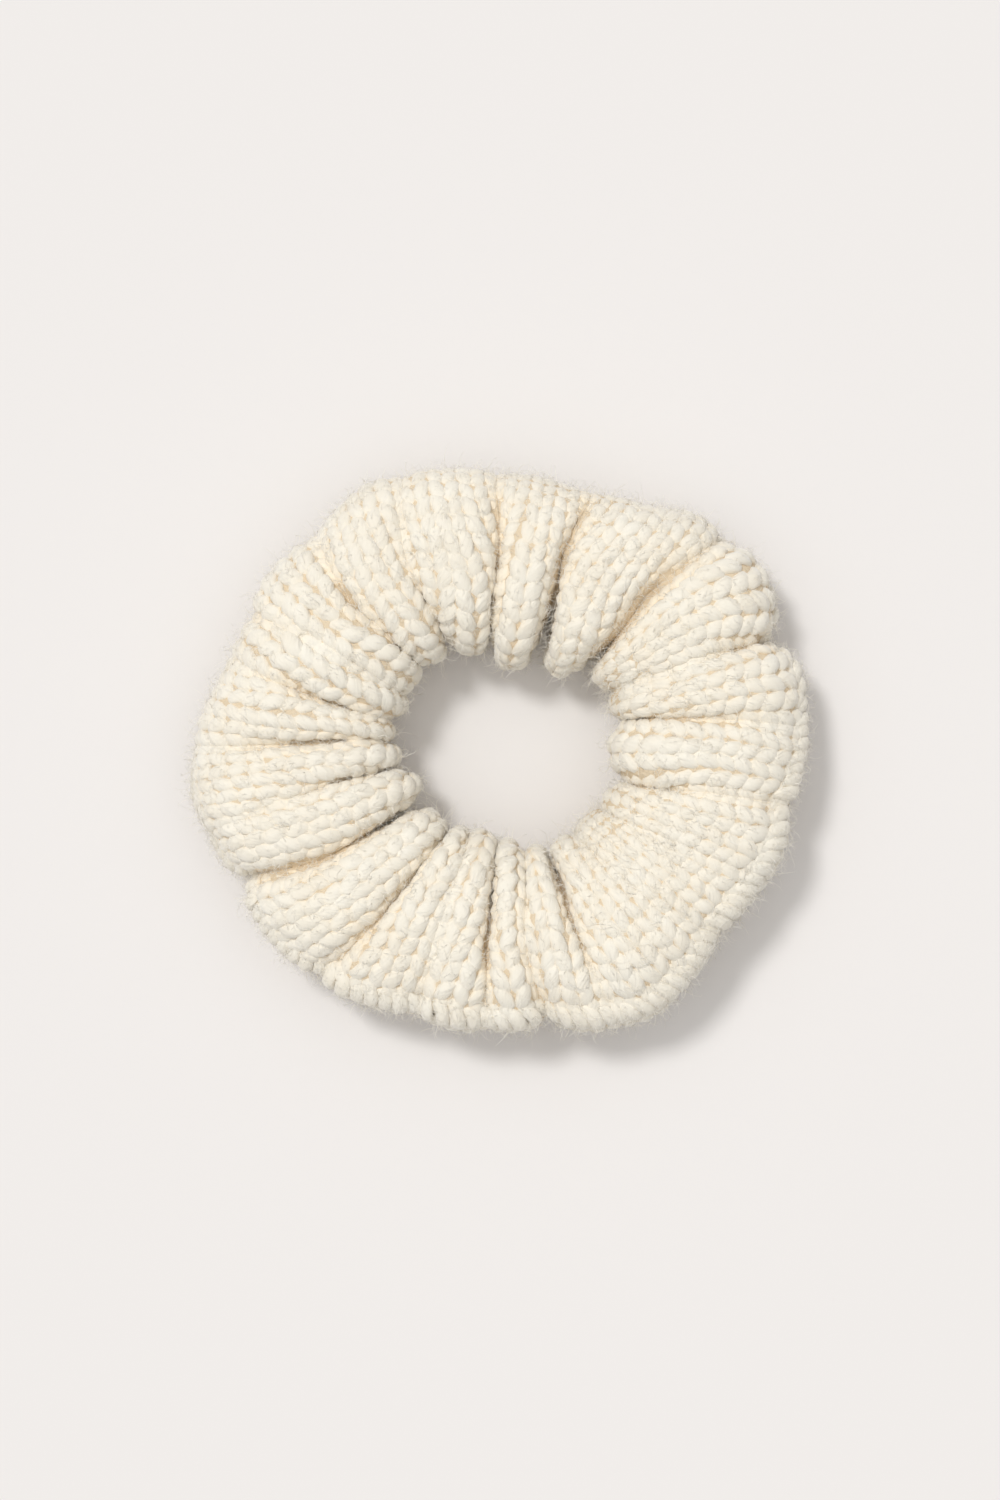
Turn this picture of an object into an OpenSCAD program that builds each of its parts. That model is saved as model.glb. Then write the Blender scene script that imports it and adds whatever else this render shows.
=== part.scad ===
// Knitted scrunchie: a gathered tube of stockinette round a loop of flat elastic, lying flat.
// Origin: centre of the ring's outline, on the surface it lies on. +Z up, +X the ring's longer way.

/* [Cover] */
// Width of the whole ring, along X
ring_w = 114; // [104:1:126]
// Height of the gathered lobes
ring_h = 24; // [22:0.5:27]
// Thickness of the knitted wall at the bottom of a fold
wall_t = 2.7; // [2.2:0.1:3]
// Radius of the seam yarn that links the strip's two long edges
edge_yarn_r = 1.7; // [1.2:0.1:2]

/* [Elastic] */
// Width of the flat elastic
elastic_w = 5; // [4:0.5:5.5]
// Thickness of the flat elastic
elastic_t = 1.2; // [0.8:0.1:1.4]
// Radius of the relaxed elastic loop, at the middle of its thickness
elastic_r = 32.5; // [31.5:0.5:34]
// Length over which the elastic's two ends lie on each other
lap_l = 10; // [6:1:14]

/* [Stretching] */
// Clearance between the held side and the pulled side
split_gap = 0.6; // [0.4:0.1:1]

/* [Hidden] */
cream = "#EFE7D6";
cream_seam = "#EAE1CF";
elastic_white = "#F4F2EE";
thread_white = "#FFFFFF";

// The folds of the gathered cover, anticlockwise from +X. Each row is a fold's angle at the hole, over
// the crest and at the rim, then its depth at those three places as a share of the wall's full gather.
FOLDS = [
  [13, 8, 4, 0.75, 0.45, 0.1],
  [27, 24, 22, 0.35, 0.2, 0.75],
  [42, 46, 45, 1, 1, 0.35],
  [68, 72, 70, 1, 1, 0.35],
  [97, 91, 91, 1, 1, 0.35],
  [117, 117, 110, 0.8, 0.35, 0.3],
  [134, 136, 131, 1, 0.8, 0.3],
  [150, 150, 152, 0.4, 0.15, 0.6],
  [166, 164, 162, 0.85, 0.8, 0.15],
  [176, 179, 180, 0.8, 0.7, 0.1],
  [190, 193, 196, 0.9, 0.4, 0.1],
  [213, 212, 207, 1, 1, 0.7],
  [239, 235, 231, 1, 0.9, 0.25],
  [251, 251, 253, 0.4, 0.15, 0.6],
  [268, 266, 267, 1, 1, 0.2],
  [282, 277, 280, 0.6, 0.35, 1],
  [294, 292, 294, 1, 0.6, 0.05],
  [311, 314, 320, 0.45, 0.1, 0.3],
  [329, 330, 334, 0.6, 0.15, 0.05],
  [344, 348, 349, 0.9, 0.25, 0.4],
];
FIRST_SPLIT = 4;
SECOND_SPLIT = 14;

// Outline of the lobes' tips at the rim and round the hole, as [angle, radius] pairs
RIM = [[0, 56.8], [12, 57.4], [22, 56.4], [35, 59.4], [48, 57], [58, 52.6], [72, 50.4], [85, 51.5],
       [100, 52.6], [118, 55], [131, 53], [145, 53.7], [155, 52.4], [168, 54], [180, 56.9], [195, 56.5],
       [207, 54.4], [217, 55.4], [235, 54.9], [250, 52.8], [265, 53.2], [280, 52.6], [290, 56], [300, 57.6],
       [322, 53.6], [340, 56], [350, 54.8], [360, 56.8]];
HOLE = [[0, 18.9], [15, 19.7], [33, 19.6], [42, 19], [52, 14.9], [66, 15], [82, 12.5], [97, 12.6],
        [107, 17.2], [120, 18.5], [135, 18.6], [158, 17.3], [175, 18.8], [188, 16], [203, 14.3], [215, 16.2],
        [232, 15.2], [257, 13.5], [268, 14.2], [280, 16.2], [302, 18], [322, 18.6], [344, 20.8], [360, 18.9]];

// Width of the outline as listed, with the clearance between the two sides
outline_w = 112.94;
fit = ring_w / outline_w;
// Moves the uneven outline so that the origin is at its centre
centre_shift = [0, 0.47, 0];
// Height of the rim's seam. It is under half of the lobes' height, so their undersides lie flat
mid_z = 0.46 * ring_h;
lobe_half_h = ring_h - mid_z;
// Section of the bottoms of the folds: nearest and furthest from the ring's centre, and half height
floor_in = 26.5;
floor_out = 50;
floor_half_h = 7.4;
// The seam is this much higher on the side at this angle, and as much lower on the other side
seam_rise = 1;
seam_high_at = -45;
// How far the seam yarn is sunk in the rim's stitches
edge_sink = 0.5;
// Exponents that square off the outside's and the hollow's sections, and how full each lobe is
roundness = 0.82;
hollow_roundness = 0.55;
fullness = 2.5;
// Facets across a lobe, across a lobe's hollow, round the tube, round the seam yarn, round the whole
// elastic and round the closing yarn's bends
lobe_steps = 6;
hollow_steps = 2;
round_steps = 24;
bead_sides = 8;
elastic_steps = 180;
bend_steps = 16;
span = 360;

// Signed power, which squares off an ellipse
function squared(v, p) = sign(v) * pow(abs(v), p);
// Value part of the way through three values, at the hole, crest and rim
function along(q, three) = q < 0.5 ? three[0] + (three[1] - three[0]) * 2 * q
                                   : three[1] + (three[2] - three[1]) * (2 * q - 1);
// Share of the way from the hole (0) to the rim (1) at an angle round the tube's section
function rimward(f) = (1 + cos(f)) / 2;
// Fold i, counted on past one turn
function fold(i) = FOLDS[i % len(FOLDS)];
function turn(i) = floor(i / len(FOLDS)) * span;
function fold_angle(i, q) = turn(i) + along(q, [fold(i)[0], fold(i)[1], fold(i)[2]]);
function fold_depth(i, q) = along(q, [fold(i)[3], fold(i)[4], fold(i)[5]]);

function section(r_in, r_out, z_mid, half_h, f, p) =
  [(r_in + r_out) / 2 + (r_out - r_in) / 2 * squared(cos(f), p), z_mid + half_h * squared(sin(f), p)];

// Point of the lobed outside: lobe i, a share u of the way across it, at angle f round the section
function lobe_point(i, u, f) =
  let (q = rimward(f),
       a = fold_angle(i, q) * (1 - u) + fold_angle(i + 1, q) * u,
       m = a % span,
       depth = fold_depth(i, q) * (1 - u) + fold_depth(i + 1, q) * u,
       puff = pow(max(0, 1 - pow(abs(2 * u - 1), fullness)), 1 / fullness),
       full = section(lookup(m, HOLE) * fit, lookup(m, RIM) * fit - edge_yarn_r, mid_z, lobe_half_h, f, roundness),
       low = section(floor_in * fit, floor_out * fit - edge_yarn_r, mid_z, floor_half_h, f, roundness),
       p = full + (low - full) * depth * (1 - puff))
  [p[0] * cos(a), p[0] * sin(a), max(0, p[1])];

// Point of the hollow inside the tube
function hollow_point(i, u, f) =
  let (q = rimward(f),
       a = fold_angle(i, q) * (1 - u) + fold_angle(i + 1, q) * u,
       p = section(floor_in * fit + wall_t, floor_out * fit - edge_yarn_r - wall_t, mid_z,
                   floor_half_h - wall_t, f, hollow_roundness))
  [p[0] * cos(a), p[0] * sin(a), p[1]];

// Faces of a grid of rows by round_n points, closed round each row
function grid_faces(rows, round_n, start, flip) =
  [for (r = [0 : rows - 2], c = [0 : round_n - 1])
    let (a = start + r * round_n + c, b = start + r * round_n + (c + 1) % round_n,
         d = a + round_n, e = b + round_n)
    each flip ? [[a, b, e], [a, e, d]] : [[a, e, b], [a, d, e]]];

// Faces of the flat end between a row of the outside and a row of the hollow
function end_faces(out_row, in_row, round_n, flip) =
  [for (c = [0 : round_n - 1])
    let (n = (c + 1) % round_n, a = out_row + c, b = out_row + n, d = in_row + c, e = in_row + n)
    each flip ? [[a, e, b], [a, d, e]] : [[a, b, e], [a, e, d]]];

// Hollow lobed tube from fold i0 to fold i1
module cover_side(i0, i1) {
  outside = [for (i = [i0 : i1 - 1], k = [0 : lobe_steps - 1]) [i, k / lobe_steps]];
  inside = [for (i = [i0 : i1 - 1], k = [0 : hollow_steps - 1]) [i, k / hollow_steps]];
  out_rows = concat(outside, [[i1 - 1, 1]]);
  in_rows = concat(inside, [[i1 - 1, 1]]);
  out_points = [for (r = out_rows, c = [0 : round_steps - 1]) lobe_point(r[0], r[1], c * span / round_steps)];
  in_points = [for (r = in_rows, c = [0 : round_steps - 1]) hollow_point(r[0], r[1], c * span / round_steps)];
  n_out = len(out_points);
  n_in = len(in_points);
  faces = concat(grid_faces(len(out_rows), round_steps, 0, true),
                 grid_faces(len(in_rows), round_steps, n_out, false),
                 end_faces(0, n_out, round_steps, true),
                 end_faces(n_out - round_steps, n_out + n_in - round_steps, round_steps, false));
  polyhedron(concat(out_points, in_points), faces, convexity = 10);
}

// Yarn of radius r swept through points, each lying in its own upright plane at the angle given with it
module swept_yarn(stations, r, sides) {
  points = [for (s = stations, c = [0 : sides - 1])
    let (f = c * span / sides, reach = s[0] + r * cos(f))
    [reach * cos(s[1]), reach * sin(s[1]), s[2] + r * sin(f)]];
  last = len(points) - sides;
  faces = concat(grid_faces(len(stations), sides, 0, true),
                 [[for (c = [sides - 1 : -1 : 0]) c]],
                 [[for (c = [0 : sides - 1]) last + c]]);
  polyhedron(points, faces, convexity = 10);
}

// The linking yarn along the rim from fold i0 to fold i1
module edge_yarn_side(i0, i1) {
  rows = concat([for (i = [i0 : i1 - 1], k = [0 : lobe_steps - 1]) [i, k / lobe_steps]], [[i1 - 1, 1]]);
  stations = [for (r = rows)
    let (p = lobe_point(r[0], r[1], 0), reach = norm([p[0], p[1]]) - edge_sink,
         a = fold_angle(r[0], 1) * (1 - r[1]) + fold_angle(r[0] + 1, 1) * r[1])
    [reach, a, mid_z + seam_rise * cos(a - seam_high_at)]];
  swept_yarn(stations, edge_yarn_r, bead_sides);
}

// Part of the flat elastic loop, standing on edge, from angle a0 over angle a
module elastic_arc(a0, a, r) {
  rotate([0, 0, a0])
    translate([0, 0, mid_z - elastic_w / 2])
      rotate_extrude(angle = a, $fn = elastic_steps)
        translate([r - elastic_t / 2, 0])
          square([elastic_t, elastic_w]);
}

// Angles at which the elastic is divided between the two sides, and where its ends lap
first_cut = FOLDS[FIRST_SPLIT][1];
second_cut = FOLDS[SECOND_SPLIT][1];
lap_angle = lap_l / elastic_r * 180 / PI;
lap_at = 150;
// The fold that hides the closing seam, its yarn's radius and the yarn's clearance from the wall
closing_fold = 11;
closing_yarn_r = 0.5;
closing_clearance = 0.4;
// The bar tacks that hold the lap: the thread's radius, the bars and how far they stop from each edge
thread_r = 0.2;
thread_rows = 4;
thread_inset = 1;

module held() { translate(centre_shift - [split_gap / 2, 0, 0]) children(); }
module pulled() { translate(centre_shift + [split_gap / 2, 0, 0]) children(); }

module cover_held_side() {
  color(cream) held() cover_side(FIRST_SPLIT, SECOND_SPLIT);
}

module cover_pulled_side() {
  color(cream) pulled() cover_side(SECOND_SPLIT, len(FOLDS) + FIRST_SPLIT);
}

module edge_yarn_held_side() {
  color(cream_seam) held() edge_yarn_side(FIRST_SPLIT, SECOND_SPLIT);
}

module edge_yarn_pulled_side() {
  color(cream_seam) pulled() edge_yarn_side(SECOND_SPLIT, len(FOLDS) + FIRST_SPLIT);
}

module elastic_held_side() {
  color(elastic_white) held() union() {
    elastic_arc(first_cut, second_cut - first_cut, elastic_r);
    elastic_arc(lap_at, lap_angle, elastic_r + elastic_t);
  }
}

module elastic_pulled_side() {
  color(elastic_white) pulled() elastic_arc(second_cut, span - (second_cut - first_cut), elastic_r);
}

// One bar of sewing thread through both layers of the lap
module bar_tack() {
  depth = 2 * (elastic_t + thread_r);
  translate([elastic_r + elastic_t / 2 - depth / 2, -thread_r, mid_z - elastic_w / 2 + thread_inset])
    cube([depth, 2 * thread_r, elastic_w - 2 * thread_inset]);
}

module elastic_joint_thread() {
  color(thread_white) held()
    for (k = [1 : thread_rows])
      rotate([0, 0, lap_at + lap_angle * k / (thread_rows + 1)]) bar_tack();
}

// Loop of yarn that joins the strip's two short ends, inside the tube
module closing_seam_yarn() {
  shrink = closing_yarn_r + closing_clearance;
  r_in = floor_in * fit + wall_t + shrink;
  r_out = floor_out * fit - edge_yarn_r - wall_t - shrink;
  half_h = floor_half_h - wall_t - shrink;
  loop = [for (c = [0 : round_steps - 1])
    section(r_in, r_out, mid_z, half_h, c * span / round_steps, hollow_roundness)];
  color(cream) held() rotate([0, 0, FOLDS[closing_fold][1]]) closed_loop(loop, closing_yarn_r);
}

// Square-sided yarn round a closed path of [radius, height] points in the XZ plane
module closed_loop(path, r) {
  rotate([90, 0, 0])
    translate([0, 0, -r])
      linear_extrude(2 * r)
        difference() {
          offset(r = r, $fn = bend_steps) polygon(path);
          offset(delta = -r) polygon(path);
        }
}

cover_held_side();
cover_pulled_side();
edge_yarn_held_side();
edge_yarn_pulled_side();
elastic_held_side();
elastic_pulled_side();
elastic_joint_thread();
closing_seam_yarn();
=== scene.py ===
import math

import bpy
import numpy as np
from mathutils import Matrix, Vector


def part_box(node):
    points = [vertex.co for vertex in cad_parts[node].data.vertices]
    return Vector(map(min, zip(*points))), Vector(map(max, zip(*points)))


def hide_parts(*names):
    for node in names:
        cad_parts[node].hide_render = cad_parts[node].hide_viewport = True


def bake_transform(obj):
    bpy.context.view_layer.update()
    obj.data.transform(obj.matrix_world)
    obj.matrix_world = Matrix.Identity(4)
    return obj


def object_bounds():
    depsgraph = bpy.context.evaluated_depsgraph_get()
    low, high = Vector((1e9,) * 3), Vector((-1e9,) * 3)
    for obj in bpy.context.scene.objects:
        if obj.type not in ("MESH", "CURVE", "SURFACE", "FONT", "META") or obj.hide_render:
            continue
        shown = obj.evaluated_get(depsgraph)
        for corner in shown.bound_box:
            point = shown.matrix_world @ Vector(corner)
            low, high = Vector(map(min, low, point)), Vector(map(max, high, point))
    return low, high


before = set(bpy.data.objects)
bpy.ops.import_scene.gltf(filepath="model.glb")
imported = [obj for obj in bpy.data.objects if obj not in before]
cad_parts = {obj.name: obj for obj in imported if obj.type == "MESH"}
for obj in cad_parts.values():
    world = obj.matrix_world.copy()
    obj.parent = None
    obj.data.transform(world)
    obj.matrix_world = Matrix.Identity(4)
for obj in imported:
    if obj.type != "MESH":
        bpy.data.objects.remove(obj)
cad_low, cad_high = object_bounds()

MM = 0.001
rng = np.random.default_rng(11)

# ---------------------------------------------------------------- sizes, in millimetres
SPLIT_HALF = 0.3  # half the clearance between the CAD's two sides
OUTLINE_W = 112.94  # width of the outline that RIM and HOLE list
ring_w = (cad_high.x - cad_low.x) / MM
ring_h = (cad_high.z - cad_low.z) / MM
fit = (ring_w - 2 * SPLIT_HALF) / OUTLINE_W
CENTRE = np.array([0.0, 0.47, 0.0])  # moves the uneven outline so that the origin is at its centre
MID_Z = 0.46 * ring_h  # height of the middle of the tube's section
HALF_H = ring_h - MID_Z
SQUARENESS = 0.82  # exponent that squares off the section
# The section at the bottoms of the folds: nearest and furthest from the ring's axis, and half its height
FLOOR_IN, FLOOR_OUT, FLOOR_HALF = 26.5, 50.0, 6.6

# Wales run round the tube's section and are counted round the ring. Courses run round the ring.
WALES, COURSES = 63, 26
WALE_W, COURSE_H = 5.2, 3.5  # one stitch in the flat knit
PER_WALE, PER_COURSE = 16, 8  # cells of the surface's grid in a wale and in a course
YARN_R = 1.2
YARN_WIDE, YARN_FLAT = 1.32, 0.78  # how far the yarn's round section is flattened in the cloth
LOOP_DEPTH = 0.7  # how far the yarn goes in and out of the middle of the cloth
CLOTH_HALF = 2.0  # half the thickness of the knitted cloth
RIM_ROOM = 0.7  # room for the linking yarn outside the cloth

# A fold's angle at the hole, crest and rim; its depth at those three; its wale, and how many wales
# slip past it by the hole and by the rim
FOLDS = np.array([
    (13, 8, 4, 0.75, 0.5, 0.1, 0.0, 0.0, 0.0),
    (27, 24, 22, 0.15, 0.25, 1.0, 2.8, 0.3, 0.2),
    (42, 46, 43, 1.0, 1.0, 0.35, 6.5, 0.9, -0.5),
    (68, 72.5, 70, 1.0, 1.0, 0.45, 11.5, 0.0, 0.0),
    (97, 91, 91, 1.0, 1.0, 0.35, 15.5, 0.0, 0.0),
    (117, 117, 110, 0.8, 0.35, 0.3, 19.6, -0.3, -0.7),
    (134, 136, 131, 1.0, 0.8, 0.3, 22.6, 0.0, 0.0),
    (150, 150, 152, 0.2, 0.15, 0.6, 24.6, 0.0, 0.7),
    (166, 164, 162, 0.85, 0.8, 0.15, 26.6, 0.0, 0.0),
    (176, 179, 180, 0.8, 0.7, 0.1, 29.6, 0.0, 0.0),
    (190, 193, 196, 0.9, 0.4, 0.1, 32.2, -0.3, 1.0),
    (213, 212, 207, 1.0, 1.0, 0.95, 35.7, 0.0, 0.0),
    (239, 235, 231, 1.0, 0.95, 0.35, 40.2, 0.0, 0.0),
    (251, 251, 253, 0.15, 0.15, 0.6, 43.1, -0.6, 0.5),
    (268, 266, 267, 1.0, 1.0, 0.3, 45.8, 0.0, 0.0),
    (282, 277, 280, 0.6, 0.35, 1.25, 48.1, 0.4, 0.2),
    (294, 292, 294, 1.0, 0.6, 0.05, 51.0, 0.0, 0.0),
    (311, 314, 320, 0.2, 0.06, 0.3, 54.5, -0.4, 0.8),
    (329, 330, 334, 0.2, 0.1, 0.05, 57.1, 0.2, 0.4),
    (344, 348, 349, 0.9, 0.3, 0.4, 60.0, 0.0, 0.0),
])
# Outline of the lobes' tips at the rim and round the hole, as angles and radii
RIM = np.array([
    (0, 56.8), (12, 57.4), (22, 56.4), (35, 59.4), (48, 57), (58, 52.6), (72, 50.4), (85, 51.5),
    (100, 52.6), (118, 55), (131, 53), (145, 53.7), (155, 52.4), (168, 54), (180, 56.9), (195, 56.5),
    (207, 54.4), (217, 55.4), (235, 54.9), (250, 52.8), (265, 53.2), (280, 52.6), (290, 56), (300, 57.6),
    (322, 53.6), (340, 56), (350, 54.8), (360, 56.8),
])
HOLE = np.array([
    (0, 18.9), (15, 19.7), (33, 19.6), (42, 19), (52, 14.9), (66, 15), (82, 12.5), (97, 12.6),
    (107, 17.2), (120, 18.5), (135, 18.6), (158, 17.3), (175, 18.8), (188, 16), (203, 14.3), (215, 16.2),
    (232, 15.2), (257, 13.5), (268, 14.2), (280, 16.2), (302, 18), (322, 18.6), (344, 20.8), (360, 18.9),
])
SEAM_FACES = 294.0  # the angle at which the rim's seam is turned furthest up
SEAM_TILT = math.radians(31)
FULLNESS = 3.1  # how square the lobes are across
GAP = 1.35  # half the distance between two lobes' walls in a fold


# ---------------------------------------------------------------- the gathered surface
def closed_table(pairs, angle, blur=5.0):
    """A radius listed round the ring, rounded over blur degrees, at each angle in degrees."""
    fine = np.arange(0, 360, 0.5)
    r = np.interp(fine, pairs[:, 0], pairs[:, 1])
    away = np.minimum(fine, 360 - fine)
    kernel = np.exp(-0.5 * (away / (blur / 2)) ** 2)
    r = np.fft.ifft(np.fft.fft(r) * np.fft.fft(kernel / kernel.sum())).real
    return np.interp(angle % 360, np.append(fine, 360), np.append(r, r[0]))


def squared(v, p):
    """Signed power, which squares off an ellipse."""
    return np.sign(v) * np.abs(v) ** p


def section(r_in, r_out, half, f):
    """Radius and height at the angle f round the tube's section, from the rim over the top to the hole."""
    r = (r_in + r_out) / 2 + (r_out - r_in) / 2 * squared(np.cos(f), SQUARENESS)
    return r, MID_Z + half * squared(np.sin(f), SQUARENESS)


def full_section(angle, f):
    """The section at the lobes' crests, at an angle round the ring."""
    r_in = closed_table(HOLE, angle) * fit + CLOTH_HALF
    r_out = closed_table(RIM, angle) * fit - CLOTH_HALF - RIM_ROOM
    return section(r_in, r_out, HALF_H - CLOTH_HALF, f)


def low_section(f):
    """The section at the bottoms of the folds."""
    r_in = FLOOR_IN * fit + CLOTH_HALF
    r_out = FLOOR_OUT * fit - CLOTH_HALF - RIM_ROOM
    return section(r_in, r_out, FLOOR_HALF - CLOTH_HALF / 2, f)


def course_angles(angle):
    """The angle round the tube's section at every row of the grid, for each angle round the ring."""
    start = SEAM_TILT * np.clip(1.3 * np.cos(np.radians(angle - SEAM_FACES)), -1, 1)
    f = start[:, None] + np.linspace(0, 2 * math.pi, 721)[None, :]
    r, z = full_section(np.repeat(angle[:, None], f.shape[1], 1), f)
    z = np.maximum(z, CLOTH_HALF)
    steps = np.hypot(np.diff(r), np.diff(z))
    run = np.concatenate([np.zeros((len(angle), 1)), np.cumsum(steps, 1)], 1)
    rows = COURSES * PER_COURSE
    return np.array([np.interp(np.arange(rows) / rows * line[-1], line, fs) for line, fs in zip(run, f)]).T


def at_three(q, low, mid, high):
    """Value a share q of the way through three values, at the hole, crest and rim."""
    return np.where(q < 0.5, low + (mid - low) * 2 * q, mid + (high - mid) * (2 * q - 1))


def lobe(a, b, across, puff, f_table):
    """The lobe from fold a to fold b: points with how far each is sunk, and the wales at its two edges."""
    rows = len(f_table)
    guess = (a[1] + (b[1] - a[1]) * (1 + across) / 2) % 360
    f = np.empty((rows, len(across)))
    for k, g in enumerate(guess):
        j = int(g) % 360
        share = g - int(g)
        f[:, k] = f_table[:, j] * (1 - share) + f_table[:, (j + 1) % 360] * share
    q = (1 + np.cos(f)) / 2
    first, last = at_three(q, *a[:3]), at_three(q, *b[:3])
    depth_a, depth_b = at_three(q, *a[3:6]), at_three(q, *b[3:6])
    half = (last - first) / 2
    r_here, _ = full_section((first + last) / 2, f)
    gap_a = np.minimum(np.degrees(GAP * np.sqrt(depth_a) / r_here), 0.35 * half)
    gap_b = np.minimum(np.degrees(GAP * np.sqrt(depth_b) / r_here), 0.35 * half)
    x = across[None, :] * np.ones((rows, 1))
    x = np.where(x < 0, x * (1 - gap_a / half), x * (1 - gap_b / half))
    x[:, 0] = -1
    angle = first + half * (1 + x)
    u = (1 + x) / 2
    depth = depth_a * (1 - u) + depth_b * u
    full, low = full_section(angle, f), low_section(f)
    r = full[0] + (low[0] - full[0]) * depth * (1 - puff)
    z = full[1] + (low[1] - full[1]) * depth * (1 - puff)
    z = np.maximum(z, CLOTH_HALF)
    sunk = depth * (1 - puff)
    points = np.stack([r * np.cos(np.radians(angle)), r * np.sin(np.radians(angle)), z, sunk], -1)
    return points, a[6] + at_three(q, a[7], 0, a[8])[:, 0], b[6] + at_three(q, b[7], 0, b[8])[:, -1]


def at_even_wales(lobes):
    """The lobes' points spread evenly by wale, as a grid [row along the wales, column along the courses]."""
    rows, cols = COURSES * PER_COURSE, WALES * PER_WALE
    grid = np.empty((rows, cols, 4))
    target = np.arange(cols) / PER_WALE
    for row in range(rows):
        line, t = [], []
        for i, (points, wale_a, wale_b) in enumerate(lobes):
            p = points[row]
            following = lobes[(i + 1) % len(lobes)][0][row][:1]
            gone = np.diff(np.concatenate([p, following])[:, :3], axis=0)
            run = np.concatenate([[0], np.cumsum(np.linalg.norm(gone, axis=1))])
            t.append(wale_a[row] + (wale_b[row] - wale_a[row]) * run[:-1] / run[-1])
            line.append(p)
        line, t = np.concatenate(line), np.concatenate(t)
        t = np.concatenate([t - WALES, t, t + WALES])
        line = np.concatenate([line, line, line])
        for axis in range(4):
            grid[row, :, axis] = np.interp(target, t, line[:, axis])
    return grid


def gathered_surface():
    """The middle of the knitted cloth as a grid of points, each with how far it is sunk in a fold."""
    theta = np.linspace(0, math.pi, 41)
    across = np.concatenate([[-1.0], -squared(np.cos(theta), 2 / FULLNESS)])
    puff = np.concatenate([[0.0], np.sin(theta) ** (2 / FULLNESS)])
    puff[-1] = 0
    once_round = np.array([360, 360, 360, 0, 0, 0, WALES, 0, 0])
    ahead = np.concatenate([FOLDS, FOLDS[:1] + once_round])
    f_table = course_angles(np.arange(0, 360, 1.0))
    return at_even_wales([lobe(a, b, across, puff, f_table) for a, b in zip(ahead, ahead[1:])])


def blurred(grid, along_rows, along_cols):
    """A closed grid blurred by those standard deviations, in cells."""
    shape = grid.shape
    ky = np.fft.fftfreq(shape[0])[:, None]
    kx = np.fft.fftfreq(shape[1])[None, :]
    gain = np.exp(-2 * (math.pi ** 2) * ((ky * along_rows) ** 2 + (kx * along_cols) ** 2))
    if grid.ndim == 3:
        gain = gain[..., None]
    return np.fft.ifft2(np.fft.fft2(grid, axes=(0, 1)) * gain, axes=(0, 1)).real


def soft_noise(shape, along_rows, along_cols):
    """Smooth random values with a standard deviation of 1 on a closed grid."""
    noise = blurred(rng.standard_normal(shape), along_rows, along_cols)
    return noise / noise.std()


def step(grid, axis):
    """The change over one cell along an axis of a closed grid."""
    return (np.roll(grid, -1, axis) - np.roll(grid, 1, axis)) / 2


def unit(v):
    return v / np.maximum(np.linalg.norm(v, axis=-1, keepdims=True), 1e-9)


def outward_normal(grid):
    """Unit normals of the closed surface that point out of the tube."""
    n = unit(np.cross(step(grid, 1), step(grid, 0)))
    on_top = n[PER_COURSE * 6, :, 2]
    return -n if on_top.mean() < 0 else n


surface = blurred(gathered_surface(), 3.0, 2.4)
surface, fold_depth = surface[..., :3], blurred(surface[..., 3], 3, 3)
surface = surface + outward_normal(surface) * (0.28 * soft_noise(surface.shape[:2], 14, 16))[..., None]
surface[..., 2] = np.maximum(surface[..., 2], CLOTH_HALF)
surface = blurred(surface, 1.5, 1.2)
normal = unit(blurred(outward_normal(surface), 1.5, 2.0))
wale_width = blurred(np.linalg.norm(step(surface, 1), axis=-1) * PER_WALE, 6, 8)
course_height = blurred(np.linalg.norm(step(surface, 0), axis=-1) * PER_COURSE, 6, 8)


def sampled(grid, s, t):
    """Bilinear values of a grid at s courses and t wales."""
    y, x = s * PER_COURSE, t * PER_WALE
    y0, x0 = np.floor(y).astype(int), np.floor(x).astype(int)
    fy, fx = y - y0, x - x0
    if grid.ndim == 3:
        fy, fx = fy[..., None], fx[..., None]
    h, w = grid.shape[:2]
    y0, y1, x0, x1 = y0 % h, (y0 + 1) % h, x0 % w, (x0 + 1) % w
    return (grid[y0, x0] * (1 - fy) * (1 - fx) + grid[y1, x0] * fy * (1 - fx)
            + grid[y0, x1] * (1 - fy) * fx + grid[y1, x1] * fy * fx)


# ---------------------------------------------------------------- meshes
def mesh_object(name, verts, quads, uvs=None, painted_shade=None):
    """An object from vertices in millimetres and faces, with UVs at corners and values at vertices."""
    mesh = bpy.data.meshes.new(name)
    verts = np.asarray(verts, np.float32).reshape(-1, 3) * MM
    quads = np.asarray(quads, np.int32)
    corners = quads.shape[1]
    mesh.vertices.add(len(verts))
    mesh.vertices.foreach_set("co", verts.ravel())
    mesh.loops.add(quads.size)
    mesh.loops.foreach_set("vertex_index", quads.ravel())
    mesh.polygons.add(len(quads))
    mesh.polygons.foreach_set("loop_start", np.arange(0, quads.size, corners, dtype=np.int32))
    mesh.polygons.foreach_set("loop_total", np.full(len(quads), corners, np.int32))
    mesh.update(calc_edges=True)
    mesh.validate()
    mesh.polygons.foreach_set("use_smooth", np.full(len(mesh.polygons), True))
    if uvs is not None:
        layer = mesh.uv_layers.new(name="Yarn")
        layer.data.foreach_set("uv", np.asarray(uvs, np.float32).ravel())
    # The vertex values hold the painted shade that the yarn's material mixes in as a tan tint.
    if painted_shade is not None:
        values = mesh.attributes.new("painted_shade", "FLOAT", "POINT").data
        values.foreach_set("value", np.asarray(painted_shade, np.float32).ravel())
    obj = bpy.data.objects.new(name, mesh)
    bpy.context.scene.collection.objects.link(obj)
    return obj


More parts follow.
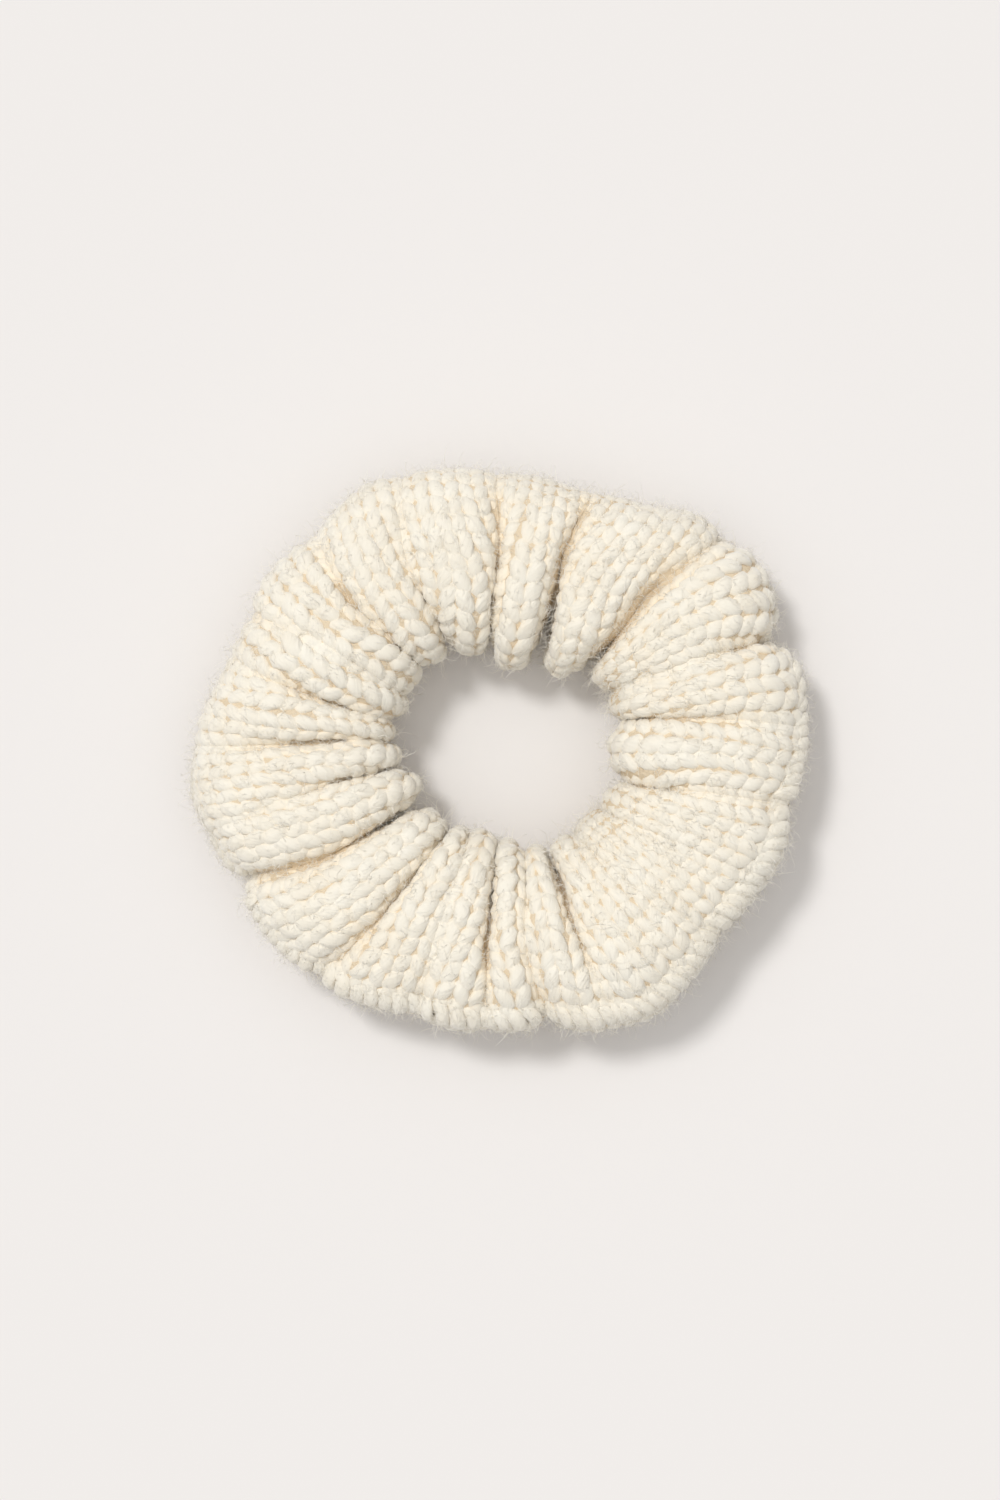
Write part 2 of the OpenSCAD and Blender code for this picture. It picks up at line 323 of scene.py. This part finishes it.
def tubes(paths, ups, radii, sides, wide=1.0, flat=1.0):
    """Vertices, faces and UVs of closed yarns. paths and ups are [yarn, point, 3] and radii [yarn, point]."""
    m, n = paths.shape[:2]
    tangent = unit(np.roll(paths, -1, 1) - np.roll(paths, 1, 1))
    side = unit(np.cross(tangent, ups))
    up = np.cross(side, tangent)
    turn = np.arange(sides) / sides * 2 * math.pi
    ring = (side[:, :, None, :] * np.cos(turn)[None, None, :, None] * wide
            + up[:, :, None, :] * np.sin(turn)[None, None, :, None] * flat)
    verts = paths[:, :, None, :] + ring * radii[:, :, None, None]
    index = np.arange(m * n * sides).reshape(m, n, sides)
    a, b = index, np.roll(index, -1, 2)
    d, c = np.roll(index, -1, 1), np.roll(np.roll(index, -1, 1), -1, 2)
    quads = np.stack([a, b, c, d], -1).reshape(-1, 4)
    length = np.linalg.norm(np.roll(paths, -1, 1) - paths, axis=-1)
    run = np.concatenate([np.zeros((m, 1)), np.cumsum(length, 1)], 1)
    u0 = np.repeat(run[:, :-1, None], sides, 2)
    u1 = np.repeat(run[:, 1:, None], sides, 2)
    v0 = np.broadcast_to(np.arange(sides) / sides, u0.shape)
    v1 = v0 + 1 / sides
    uvs = np.stack([u0, v0, u0, v1, u1, v1, u1, v0], -1).reshape(-1, 2)
    return verts.reshape(-1, 3), quads, uvs


# ---------------------------------------------------------------- the knitted yarn
POINTS = 16  # points of yarn in a stitch
SIDES = 8
SLANT = 0.163  # how far a stitch's two legs lean, in wales
# Columns where the stitches are pulled apart: the wale's edge, and the first and last course
LADDERS = ((13.9, 4, 11), (27.9, 3, 9), (31.3, 6, 12), (7.5, 2, 6), (60.9, 3, 11), (37.6, 3, 6), (50.1, 4, 9))
LADDER_PUSH = 0.07  # wales that a leg moves away from such an edge
# The small gaps at each stitch: their place in wales and courses, half width and half height, how far the
# yarn bends round them, and the share by which it is thinner there
EYELETS = ((0, 0.72), (0.5, 0.25))
EYELET_W, EYELET_H = 1.6, 0.7
EYELET_PUSH, EYELET_THIN = 0.48, 0.19


def knitted_yarn():
    """Every course's yarn as closed loops through the stitches: paths, ups, radii and painted shade."""
    n = WALES * POINTS
    p = np.arange(n) / POINTS
    course = np.arange(COURSES)[:, None]
    tau = 2 * math.pi * p[None, :] * np.ones((COURSES, 1))
    size = soft_noise((COURSES, n), 0.01, POINTS * 0.8)
    t = p[None, :] + SLANT * np.sin(2 * tau) + 0.02 * soft_noise((COURSES, n), 0.4, POINTS * 0.4)
    s = course + 0.5 + (0.97 + 0.03 * size) * np.cos(tau) + 0.04 * soft_noise((COURSES, n), 0.01, POINTS * 0.5)
    for wale, first, last in LADDERS:
        away = (t - wale + WALES / 2) % WALES - WALES / 2
        inside = 1 / (1 + np.exp(-3 * (s - first))) / (1 + np.exp(3 * (s - last)))
        t = t + LADDER_PUSH * np.sign(away) * np.exp(-((np.abs(away) - 0.25) / 0.3) ** 2) * inside
    eyelet = np.zeros_like(t)
    roomy = np.clip((sampled(wale_width, s, t) / WALE_W - 0.45) / 0.45, 0.2, 1)
    for shift, at in EYELETS:
        aside = t - np.round(t - shift) - shift
        above = s - np.round(s - at) - at
        near = roomy * np.exp(-(aside * WALE_W / EYELET_W) ** 2 - (above * COURSE_H / EYELET_H) ** 2)
        t = t + np.sign(aside) * EYELET_PUSH / WALE_W * near
        eyelet = np.maximum(eyelet, near)
    s = np.clip(s, 0.15, COURSES - 0.15)
    wide = np.clip(sampled(wale_width, s, t) / WALE_W, 0.5, 1.35)
    tall = np.clip(sampled(course_height, s, t) / COURSE_H, 0.5, 1.15)
    shrink = np.clip(wide ** 0.65 * tall ** 0.2, 0.7, 1.17)
    lift = -LOOP_DEPTH * np.cos(2 * tau) * shrink + 0.1 * soft_noise((COURSES, n), 0.01, POINTS * 0.6)
    up = unit(sampled(normal, s, t))
    paths = sampled(surface, s, t) + up * lift[..., None]
    uneven = 1 + 0.045 * soft_noise((COURSES, n), 0.01, POINTS * 0.15)
    radii = YARN_R * shrink * (1 - EYELET_THIN * eyelet) * uneven
    paths[..., 2] = np.maximum(paths[..., 2], radii * 0.95)
    # Painted shade: the yarn's lower sides, the depths between stitches and the bottoms of the folds take more
    # of the tan tint.
    turn = np.sin(np.arange(SIDES) / SIDES * 2 * math.pi)
    height = (lift[..., None] + radii[..., None] * YARN_FLAT * turn) / (LOOP_DEPTH + YARN_R * YARN_FLAT)
    in_fold = np.clip(sampled(fold_depth, s, t) - 0.15, 0, 1)[..., None]
    painted_shade = 0.7 * np.clip(0.8 - height, 0, 1) + 1.3 * in_fold
    return paths, up, radii, np.clip(painted_shade, 0, 1)


paths, ups, radii, yarn_painted_shade = knitted_yarn()
yarn_parts = []
BANDS = (("knit_yarn_outer_courses", 0, 7), ("knit_yarn_top_courses", 7, 13),
         ("knit_yarn_inner_courses", 13, 19), ("knit_yarn_under_courses", 19, COURSES))
for name, first, last in BANDS:
    band = slice(first, last)
    verts, quads, uvs = tubes(paths[band], ups[band], radii[band], SIDES, YARN_WIDE, YARN_FLAT)
    yarn_parts.append(mesh_object(name, verts + CENTRE, quads, uvs, yarn_painted_shade[band]))

# ---------------------------------------------------------------- the cloth that the yarn is knitted into
# The cloth stands for the yarns' matted fuzz; its tan colour is painted shade of the gaps and folds.
WEB_LIFT = 0.82  # the yarns' matted fuzz closes the gaps between the stitches at this height
FOLD_LIFT = 1.1  # and stands this much higher in the bottoms of the folds, where its tan fills the creases as painted shade
CLOTH_EDGE = 0.12  # courses that the cloth stops short of the rim's seam


def cloth_sheet():
    """The knitted strip as a thin cloth between the stitches, open along the rim's seam."""
    per_course, per_wale = 3, 6
    rows, cols = COURSES * per_course, WALES * per_wale
    s = np.concatenate([[CLOTH_EDGE], np.arange(1, rows) / per_course, [COURSES - CLOTH_EDGE]])
    s = s[:, None] * np.ones((1, cols))
    t = (np.arange(cols) / per_wale)[None, :] * np.ones((len(s), 1))
    matted = WEB_LIFT + FOLD_LIFT * np.clip((sampled(fold_depth, s, t) - 0.36) / 0.34, 0, 1)
    verts = sampled(surface, s, t) + sampled(normal, s, t) * matted[..., None]
    verts[..., 2] = np.maximum(verts[..., 2], 0.3)
    index = np.arange(verts.shape[0] * cols).reshape(-1, cols)
    a, b = index[:-1], np.roll(index, -1, 1)[:-1]
    d, c = index[1:], np.roll(index, -1, 1)[1:]
    return verts.reshape(-1, 3), np.stack([a, b, c, d], -1).reshape(-1, 4)


verts, quads = cloth_sheet()
cloth = mesh_object("knit_cloth", verts + CENTRE, quads)

# ---------------------------------------------------------------- the rim's linking yarn
RIM_TURNS = 2.4  # turns of the linking yarn to a wale
RIM_YARN_R = 1.2
RIM_WIDE, RIM_FLAT = 1.2, 0.74


def rim_seam():
    """Yarn wound over the strip's two joined long edges: path, ups, radii and painted shade."""
    turns, per_turn = int(WALES * RIM_TURNS), 14
    n = turns * per_turn
    k = np.arange(n)
    wind = 2 * math.pi * k / per_turn
    size = 1 + 0.1 * soft_noise((1, n), 0.01, per_turn * 0.7)
    t = (k / n * WALES + 0.14 * np.sin(wind))[None, :]
    s = 0.55 * np.cos(wind)[None, :] * size
    base, up = sampled(surface, s, t), unit(sampled(normal, s, t))
    path = base + up * ((0.55 + 0.95 * np.sin(wind)) * size)[..., None]
    outward = unit(up * (1.2 + np.sin(wind))[None, :, None])
    radii = RIM_YARN_R * (1 + 0.06 * soft_noise((1, n), 0.01, 3))
    # Painted shade: the turns' undersides and their low parts by the cloth take the tan tint.
    turn = np.sin(np.arange(SIDES) / SIDES * 2 * math.pi)
    painted_shade = 0.6 * np.clip(0.3 - turn[None, None, :] - 0.5 * np.sin(wind)[None, :, None], 0, 1)
    return path, outward, radii, painted_shade


rim_path, rim_up, rim_radii, rim_painted_shade = rim_seam()
verts, quads, uvs = tubes(rim_path, rim_up, rim_radii, SIDES, RIM_WIDE, RIM_FLAT)
rim_yarn = mesh_object("rim_linking_yarn", verts + CENTRE, quads, uvs, rim_painted_shade)

# ---------------------------------------------------------------- the elastic and its stitches
elastic_low, elastic_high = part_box("elastic_pulled_side")
ELASTIC_T = 1.2
ELASTIC_W = (elastic_high.z - elastic_low.z) / MM
ELASTIC_Z = (elastic_high.z + elastic_low.z) / 2 / MM
ELASTIC_R = elastic_high.x / MM - SPLIT_HALF - ELASTIC_T / 2
LAP_AT, LAP_TURN = math.radians(150), 10 / ELASTIC_R
RIBS, RIB_H = 7, 0.09
TACKS, THREAD_R = 4, 0.17


def around(radius, turn, height):
    """Points at a distance from the ring's axis, an angle round it and a height."""
    radius, turn, height = np.broadcast_arrays(radius, turn, height)
    return np.stack([radius * np.cos(turn), radius * np.sin(turn), height], -1)


def ribbed_elastic():
    """One strip of flat braided elastic that goes once round and laps over its own start."""
    stations, per_face = 420, RIBS * 4 + 1
    turn = LAP_AT + np.linspace(0, 2 * math.pi + LAP_TURN, stations)
    lapped = np.clip((turn - LAP_AT - 2 * math.pi + 0.24) / 0.2, 0, 1)
    r = ELASTIC_R + (ELASTIC_T + 0.02) * lapped * lapped * (3 - 2 * lapped)
    h = np.linspace(-1, 1, per_face)
    rib = RIB_H * np.abs(np.sin(h * RIBS * math.pi / 2)) + ELASTIC_T / 2 - RIB_H
    face = rib * (1 - np.abs(h) ** 14) ** 0.5 * 0.97 + 0.03 * ELASTIC_T
    out = np.concatenate([face, -face[::-1]])
    up = np.concatenate([h, h[::-1]]) * ELASTIC_W / 2
    frayed = 0.024 * soft_noise((stations, len(out)), 0.6, 0.6)
    verts = around(r[:, None] + out[None, :] + frayed, turn[:, None], ELASTIC_Z + up[None, :])
    n = len(out)
    index = np.arange(stations * n).reshape(stations, n)
    a, b = index[:-1], np.roll(index, -1, 1)[:-1]
    d, c = index[1:], np.roll(index, -1, 1)[1:]
    quads = np.stack([a, d, c, b], -1).reshape(-1, 4)
    k = np.arange(per_face - 1)
    caps = [np.stack([row[k], row[k + 1], row[n - 2 - k], row[n - 1 - k]], -1)[:, ::flip]
            for row, flip in ((index[0], 1), (index[-1], -1))]
    run = (turn - LAP_AT) * ELASTIC_R
    around_face = np.arange(n + 1) / n
    u0 = np.repeat(run[:-1, None], n, 1)
    u1 = np.repeat(run[1:, None], n, 1)
    v0 = np.broadcast_to(around_face[:-1], u0.shape)
    v1 = np.broadcast_to(around_face[1:], u0.shape)
    uvs = np.stack([u0, v0, u1, v0, u1, v1, u0, v1], -1).reshape(-1, 2)
    cap_uvs = np.zeros((8 * (per_face - 1), 2))
    return verts.reshape(-1, 3), np.concatenate([quads, *caps]), np.concatenate([uvs, cap_uvs])


def bar_tacks():
    """Bars of zigzag stitches through both layers of the lap, each one closed run of thread."""
    zigs, per_zig = 9, 6
    k = np.arange(zigs * per_zig)
    share = k / (len(k) - 1)
    sway = 0.42 * np.arcsin(np.sin(2 * math.pi * k / per_zig)) / (math.pi / 2)
    rise = (ELASTIC_W / 2 - 1) * (2 * share - 1)
    outer, inner = ELASTIC_R + 1.5 * ELASTIC_T + 0.12, ELASTIC_R - ELASTIC_T / 2 - 0.12
    bars, outwards = [], []
    for bar in range(1, TACKS + 1):
        turn = LAP_AT + LAP_TURN * bar / (TACKS + 1)
        front = around(outer, turn + sway / outer, ELASTIC_Z + rise)
        back = around(inner, turn - sway[::-1] / inner, ELASTIC_Z + rise[::-1])
        bars.append(np.concatenate([front, back]))
        out = np.broadcast_to(around(1.0, turn, 0.0), front.shape)
        outwards.append(np.concatenate([out, -out]))
    paths, ups = np.array(bars), np.array(outwards)
    return tubes(paths, ups, np.full(paths.shape[:2], THREAD_R), 6)


verts, quads, uvs = ribbed_elastic()
elastic = mesh_object("ribbed_elastic", verts + CENTRE, quads, uvs)
verts, quads, uvs = bar_tacks()
thread = mesh_object("bar_tack_thread", verts + CENTRE, quads, uvs)

# ---------------------------------------------------------------- the closing seam
CLOSING_WALE = 36.2  # the wale that the strip's short ends meet at, in the fold at 212 degrees
CLOSING_YARN_R = 0.43
CLOSING_DEPTH, CLOSING_COIL = 1.3, 0.62  # how far the seam is under the cloth's middle, and its coil's radius


def closing_seam():
    """Yarn whipped round the strip's two joined short ends, down one side of a fold and up the other."""
    turns, per_turn = 24, 12
    n = turns * per_turn
    k = np.arange(n)
    s = k / n * COURSES
    t = np.full(n, CLOSING_WALE)
    base, up = sampled(surface, s, t), unit(sampled(normal, s, t))
    centre = base - up * CLOSING_DEPTH
    along = unit(np.roll(centre, -1, 0) - np.roll(centre, 1, 0))
    side = unit(np.cross(along, up))
    wind = 2 * math.pi * k / per_turn
    path = centre + CLOSING_COIL * (side * np.cos(wind)[:, None] * 1.5 + up * np.sin(wind)[:, None])
    out = unit(path - centre)
    radii = CLOSING_YARN_R * (1 + 0.06 * soft_noise((1, n), 0.01, 3))
    return tubes(path[None], out[None], radii, SIDES)


verts, quads, uvs = closing_seam()
closing_yarn = mesh_object("closing_whip_yarn", verts + CENTRE, quads, uvs)

# ---------------------------------------------------------------- the yarn's loose fibres
FIBRE_STEPS = 4  # rings of a fibre's mesh before its point
KNIT_FIBRES, KNIT_FIBRE_L = 8800, 6.5  # fibres on each band of courses, and the longest
RIM_FIBRES, RIM_FIBRE_L = 5000, 5.0


def hairs(name, line, thick, out):
    """Closed three-sided hairs along lines of points, each of which ends in a point."""
    across = unit(np.cross(line[:, 1] - line[:, 0], out + 0.01))
    other = unit(np.cross(line[:, 1] - line[:, 0], across))
    thirds = (0, 2 * math.pi / 3, 4 * math.pi / 3)
    spokes = np.stack([math.cos(a) * across + math.sin(a) * other for a in thirds], 1)
    rings = [line[:, k, None, :] + spokes * (thick * (1 - 0.5 * k / FIBRE_STEPS))[:, None, None]
             for k in range(FIBRE_STEPS)]
    verts = np.concatenate([*rings, line[:, -1:]], 1)
    tip = 3 * FIBRE_STEPS
    faces = [(0, 2, 1), (tip - 3, tip - 2, tip), (tip - 2, tip - 1, tip), (tip - 1, tip - 3, tip)]
    for ring in range(0, tip - 3, 3):
        for k in range(3):
            a, b = ring + k, ring + (k + 1) % 3
            faces += [(a, b, b + 3), (a, b + 3, a + 3)]
    index = np.arange(len(line))[:, None, None] * (tip + 1) + np.array(faces)[None]
    return mesh_object(name, verts.reshape(-1, 3) + CENTRE, index.reshape(-1, 3))


def fuzz(name, count, paths, ups, radii, longest):
    """Fine loose fibres that leave the yarn, run along it and curl over it."""
    courses, n = radii.shape
    row, col = rng.integers(0, courses, count), rng.integers(0, n, count)
    base, up, r = paths[row, col], ups[row, col], radii[row, col]
    along = unit(paths[row, (col + 1) % n] - paths[row, col - 1])
    side = unit(np.cross(along, up))
    turn = rng.uniform(-1.2, 1.2, count)
    out = unit(up * np.cos(turn)[:, None] + side * np.sin(turn)[:, None])
    length = longest * (0.25 + 0.75 * rng.beta(1.3, 2.2, count))
    heading = unit(0.34 * out + 0.6 * along * rng.choice([-1, 1], count)[:, None]
                   + 0.5 * rng.standard_normal((count, 3)))
    heading = unit(heading - up * np.minimum(0, (heading * up).sum(1) - 0.1)[:, None])
    curl = unit(rng.standard_normal((count, 3))) * rng.uniform(0.4, 1.1, count)[:, None]
    line = [base + out * (r * 0.9)[:, None]]
    for _ in range(FIBRE_STEPS):
        line.append(line[-1] + heading * (length / FIBRE_STEPS)[:, None])
        heading = unit(heading + np.cross(heading, curl) - 0.1 * up + 0.12 * rng.standard_normal((count, 3)))
    line = np.stack(line, 1)
    line[..., 2] = np.maximum(line[..., 2], 0.15)
    return hairs(name, line, rng.uniform(0.03, 0.05, count), out)


fuzz_parts = []
for name, first, last in BANDS:
    band = slice(first, last)
    fuzz_parts.append(fuzz(name.replace("yarn", "fuzz"), KNIT_FIBRES, paths[band], ups[band], radii[band],
                           KNIT_FIBRE_L))
fuzz_parts.append(fuzz("rim_fuzz", RIM_FIBRES, rim_path, rim_up, rim_radii, RIM_FIBRE_L))

# ---------------------------------------------------------------- materials
PAINTED_SHADE_TAN = (0.98, 0.81, 0.57)  # painted shade: the tan that the yarn's colour takes in the depths between stitches and in the folds, where the light that yarn lets through is warmer
PLY_PITCH = 11.0  # millimetres of yarn to one turn of its twist
PLY_BUMPS = 1.5  # waves to a turn, each of which the shader folds into two bumps, for three plies


def new_material(name, roughness, specular):
    """A material with its nodes, links and main shader."""
    m = bpy.data.materials.new(name)
    m.use_nodes = True
    shader = m.node_tree.nodes["Principled BSDF"]
    shader.inputs["Roughness"].default_value = roughness
    shader.inputs["Specular IOR Level"].default_value = specular
    return m, m.node_tree.nodes, m.node_tree.links, shader


def math_node(nodes, links, operation, first, second=None):
    """The output of a math node on one or two inputs, each a socket or a number."""
    node = nodes.new("ShaderNodeMath")
    node.operation = operation
    for socket, value in zip(node.inputs, (first, second)):
        if isinstance(value, (int, float)):
            socket.default_value = value
        elif value is not None:
            links.new(value, socket)
    return node.outputs[0]


def noise_node(nodes, links, vector, scale, detail=2.0, roughness=0.5):
    """The output of a noise texture."""
    noise = nodes.new("ShaderNodeTexNoise")
    noise.inputs["Scale"].default_value = scale
    noise.inputs["Detail"].default_value = detail
    noise.inputs["Roughness"].default_value = roughness
    links.new(vector, noise.inputs["Vector"])
    return noise.outputs["Fac"]


def ramp_node(nodes, links, value, dark, light, start=0.0, end=1.0):
    """A colour between two, as a value goes from start to end."""
    ramp = nodes.new("ShaderNodeValToRGB")
    for element, place, colour in zip(ramp.color_ramp.elements, (start, end), (dark, light)):
        element.position = place
        element.color = (*colour, 1)
    links.new(value, ramp.inputs["Fac"])
    return ramp.outputs["Color"]


def bump_node(nodes, links, height, shader, strength, distance):
    """Raises a material's surface by a height, over a distance in millimetres."""
    bump = nodes.new("ShaderNodeBump")
    bump.inputs["Strength"].default_value = strength
    bump.inputs["Distance"].default_value = distance * MM
    links.new(height, bump.inputs["Height"])
    links.new(bump.outputs["Normal"], shader.inputs["Normal"])


def yarn_uv(nodes):
    """The distance along the yarn, in millimetres, and the share of the way round it."""
    uv = nodes.new("ShaderNodeUVMap")
    uv.uv_map = "Yarn"
    return uv.outputs["UV"]


def yarn_twist(nodes, links):
    """Height of the yarn's three plies, twisted round each other, and of the fibres that lie along them."""
    split = nodes.new("ShaderNodeSeparateXYZ")
    links.new(yarn_uv(nodes), split.inputs["Vector"])
    along, round_it = split.outputs["X"], split.outputs["Y"]
    turn = math_node(nodes, links, "MULTIPLY", round_it, PLY_BUMPS * 2 * math.pi)
    length = math_node(nodes, links, "MULTIPLY", along, PLY_BUMPS * 2 * math.pi / PLY_PITCH)
    wave = math_node(nodes, links, "SINE", math_node(nodes, links, "ADD", turn, length))
    ply = math_node(nodes, links, "ABSOLUTE", wave)
    across = math_node(nodes, links, "ADD", math_node(nodes, links, "MULTIPLY", round_it, 7.5),
                       math_node(nodes, links, "MULTIPLY", along, 7.5 / PLY_PITCH))
    place = nodes.new("ShaderNodeCombineXYZ")
    links.new(math_node(nodes, links, "MULTIPLY", along, 0.35), place.inputs["X"])
    links.new(math_node(nodes, links, "MULTIPLY", across, 2.2), place.inputs["Y"])
    fibres = noise_node(nodes, links, place.outputs["Vector"], 1, 3, 0.6)
    both = math_node(nodes, links, "MULTIPLY_ADD", ply, 0.5)
    links.new(fibres, both.node.inputs[2])
    return both


def cream_yarn_painted_shade():
    """Brushed yarn, with painted shade: a warmer tan mixed into its colour in the depths between the stitches
    and in the folds.
    """
    m, nodes, links, shader = new_material("cream_yarn_painted_shade", 0.92, 0.15)
    coords = nodes.new("ShaderNodeTexCoord")
    mottle = noise_node(nodes, links, coords.outputs["Object"], 160, 3)
    cream = ramp_node(nodes, links, mottle, (0.865, 0.80, 0.675), (0.89, 0.842, 0.735), 0.3, 0.7)
    # Painted shade: the vertex value set in knitted_yarn and rim_seam mixes the tan into the cream.
    painted_shade_node = nodes.new("ShaderNodeAttribute")
    painted_shade_node.attribute_name = "painted_shade"
    tint = nodes.new("ShaderNodeMix")
    tint.data_type = "RGBA"
    tint.inputs["B"].default_value = (*PAINTED_SHADE_TAN, 1)
    links.new(painted_shade_node.outputs["Fac"], tint.inputs["Factor"])
    links.new(cream, tint.inputs["A"])
    links.new(tint.outputs["Result"], shader.inputs["Base Color"])
    bump_node(nodes, links, yarn_twist(nodes, links), shader, 0.45, 0.5)
    shader.inputs["Sheen Weight"].default_value = 0.5
    shader.inputs["Sheen Roughness"].default_value = 0.6
    return m


def painted_light_fibre():
    m, nodes, links, shader = new_material("painted_light_fibre", 0.8, 0.2)
    # Painted light: lighter than the yarn's cream, for the light that scatters through the thin fibres.
    shader.inputs["Base Color"].default_value = (0.96, 0.92, 0.84, 1)
    return m


def white_elastic():
    """Braid with its picks showing as a fine check."""
    m, nodes, links, shader = new_material("white_elastic", 0.8, 0.3)
    weave = nodes.new("ShaderNodeMapping")
    weave.inputs["Scale"].default_value = (1.4, RIBS * 2.0, 1)
    links.new(yarn_uv(nodes), weave.inputs["Vector"])
    picks = nodes.new("ShaderNodeTexChecker")
    picks.inputs["Scale"].default_value = 1
    picks.inputs["Color1"].default_value = (0.84, 0.83, 0.80, 1)
    picks.inputs["Color2"].default_value = (0.74, 0.73, 0.69, 1)
    links.new(weave.outputs["Vector"], picks.inputs["Vector"])
    links.new(picks.outputs["Color"], shader.inputs["Base Color"])
    bump_node(nodes, links, picks.outputs["Fac"], shader, 0.5, 0.1)
    return m


def white_thread():
    """Sewing thread with its twist showing as slanted bands."""
    m, nodes, links, shader = new_material("white_thread", 0.5, 0.5)
    twist = nodes.new("ShaderNodeTexWave")
    twist.bands_direction = "DIAGONAL"
    twist.inputs["Scale"].default_value = 0.8
    links.new(yarn_uv(nodes), twist.inputs["Vector"])
    white = ramp_node(nodes, links, twist.outputs["Fac"], (0.70, 0.70, 0.68), (0.90, 0.90, 0.88))
    links.new(white, shader.inputs["Base Color"])
    return m


def tan_cloth_painted_shade():
    """Matted fuzz in painted shade: the tan, warmer colour of the dim light that reaches the gaps between the
    stitches and the folds.
    """
    m, nodes, links, shader = new_material("tan_cloth_painted_shade", 0.95, 0.1)
    coords = nodes.new("ShaderNodeTexCoord")
    mottle = noise_node(nodes, links, coords.outputs["Object"], 600)
    # Painted shade: this tan stands for the shade in the gaps and creases that the cloth fills.
    tan = ramp_node(nodes, links, mottle, (0.78, 0.63, 0.44), (0.86, 0.73, 0.54))
    links.new(tan, shader.inputs["Base Color"])
    felt = noise_node(nodes, links, coords.outputs["Object"], 1500, 4, 0.65)
    bump_node(nodes, links, felt, shader, 0.9, 0.6)
    return m


def pale_floor():
    m, nodes, links, shader = new_material("pale_floor", 1, 0)
    shader.inputs["Base Color"].default_value = (0.80, 0.771, 0.749, 1)
    return m


cream = cream_yarn_painted_shade()
for obj in (*yarn_parts, rim_yarn, closing_yarn):
    obj.data.materials.append(cream)
fibre = painted_light_fibre()
for obj in fuzz_parts:
    obj.data.materials.append(fibre)
elastic.data.materials.append(white_elastic())
thread.data.materials.append(white_thread())
cloth.data.materials.append(tan_cloth_painted_shade())

# ---------------------------------------------------------------- floor, light and camera
FLOOR_REACH = 2.5  # metres from the origin to the floor's edges
KEY_FROM = Vector((-0.34, 0.35, 0.87))  # from the object towards the key light
SKY_FROM, SKY_TO = 0.3, 0.9  # heights in the sky between which it goes from its low to its high strength
SKY_LOW, SKY_HIGH = 0.31, 0.915
LENS, SENSOR = 85, 36
FRAME_TALL = 270 * fit  # millimetres that the picture takes in from top to bottom, at FRAMED_Z
FRAMED_Z = 14
CAMERA_X, CAMERA_Y = -0.09, 0.20
scene = bpy.context.scene


def plain_floor():
    corners = [(-1, -1), (1, -1), (1, 1), (-1, 1)]
    mesh = bpy.data.meshes.new("floor")
    mesh.from_pydata([(x * FLOOR_REACH, y * FLOOR_REACH, 0) for x, y in corners], [], [(0, 1, 2, 3)])
    floor = bpy.data.objects.new("floor", mesh)
    scene.collection.objects.link(floor)
    floor.data.materials.append(pale_floor())


def studio_sky():
    """A white sky that is brightest overhead, as under a large soft box."""
    world = bpy.data.worlds.new("studio")
    scene.world = world
    world.use_nodes = True
    nodes, links = world.node_tree.nodes, world.node_tree.links
    nodes["Background"].inputs["Color"].default_value = (1, 1, 1, 1)
    sky = nodes.new("ShaderNodeTexCoord")
    split = nodes.new("ShaderNodeSeparateXYZ")
    overhead = nodes.new("ShaderNodeMapRange")
    overhead.inputs["From Min"].default_value = SKY_FROM
    overhead.inputs["From Max"].default_value = SKY_TO
    overhead.inputs["To Min"].default_value = SKY_LOW
    overhead.inputs["To Max"].default_value = SKY_HIGH
    links.new(sky.outputs["Generated"], split.inputs["Vector"])
    links.new(split.outputs["Z"], overhead.inputs["Value"])
    links.new(overhead.outputs["Result"], nodes["Background"].inputs["Strength"])


def key_light():
    """A soft sun from the upper left."""
    key = bpy.data.lights.new("key", "SUN")
    key.energy = 1.52
    key.angle = math.radians(12)
    key_obj = bpy.data.objects.new("key", key)
    key_obj.rotation_mode = "QUATERNION"
    key_obj.rotation_quaternion = KEY_FROM.to_track_quat("Z", "Y")
    scene.collection.objects.link(key_obj)


def overhead_camera():
    """A camera that looks straight down."""
    camera = bpy.data.cameras.new("camera")
    camera.lens = LENS
    camera.sensor_width = SENSOR
    camera.dof.use_dof = False
    camera_obj = bpy.data.objects.new("camera", camera)
    camera_obj.location = (CAMERA_X * MM, CAMERA_Y * MM, (FRAME_TALL * LENS / SENSOR + FRAMED_Z) * MM)
    scene.collection.objects.link(camera_obj)
    scene.camera = camera_obj
    scene.render.resolution_x, scene.render.resolution_y = 1000, 1500


scene.view_settings.view_transform = "Standard"
plain_floor()
studio_sky()
key_light()
overhead_camera()

# ---------------------------------------------------------------- transforms baked into the meshes, and the CAD's parts hidden
for obj in (*yarn_parts, cloth, rim_yarn, *fuzz_parts, elastic, thread, closing_yarn):
    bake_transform(obj)
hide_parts("elastic_held_side", "elastic_pulled_side")
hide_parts("elastic_joint_thread")
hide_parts("closing_seam_yarn")
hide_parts("cover_held_side", "cover_pulled_side")
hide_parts("edge_yarn_held_side", "edge_yarn_pulled_side")
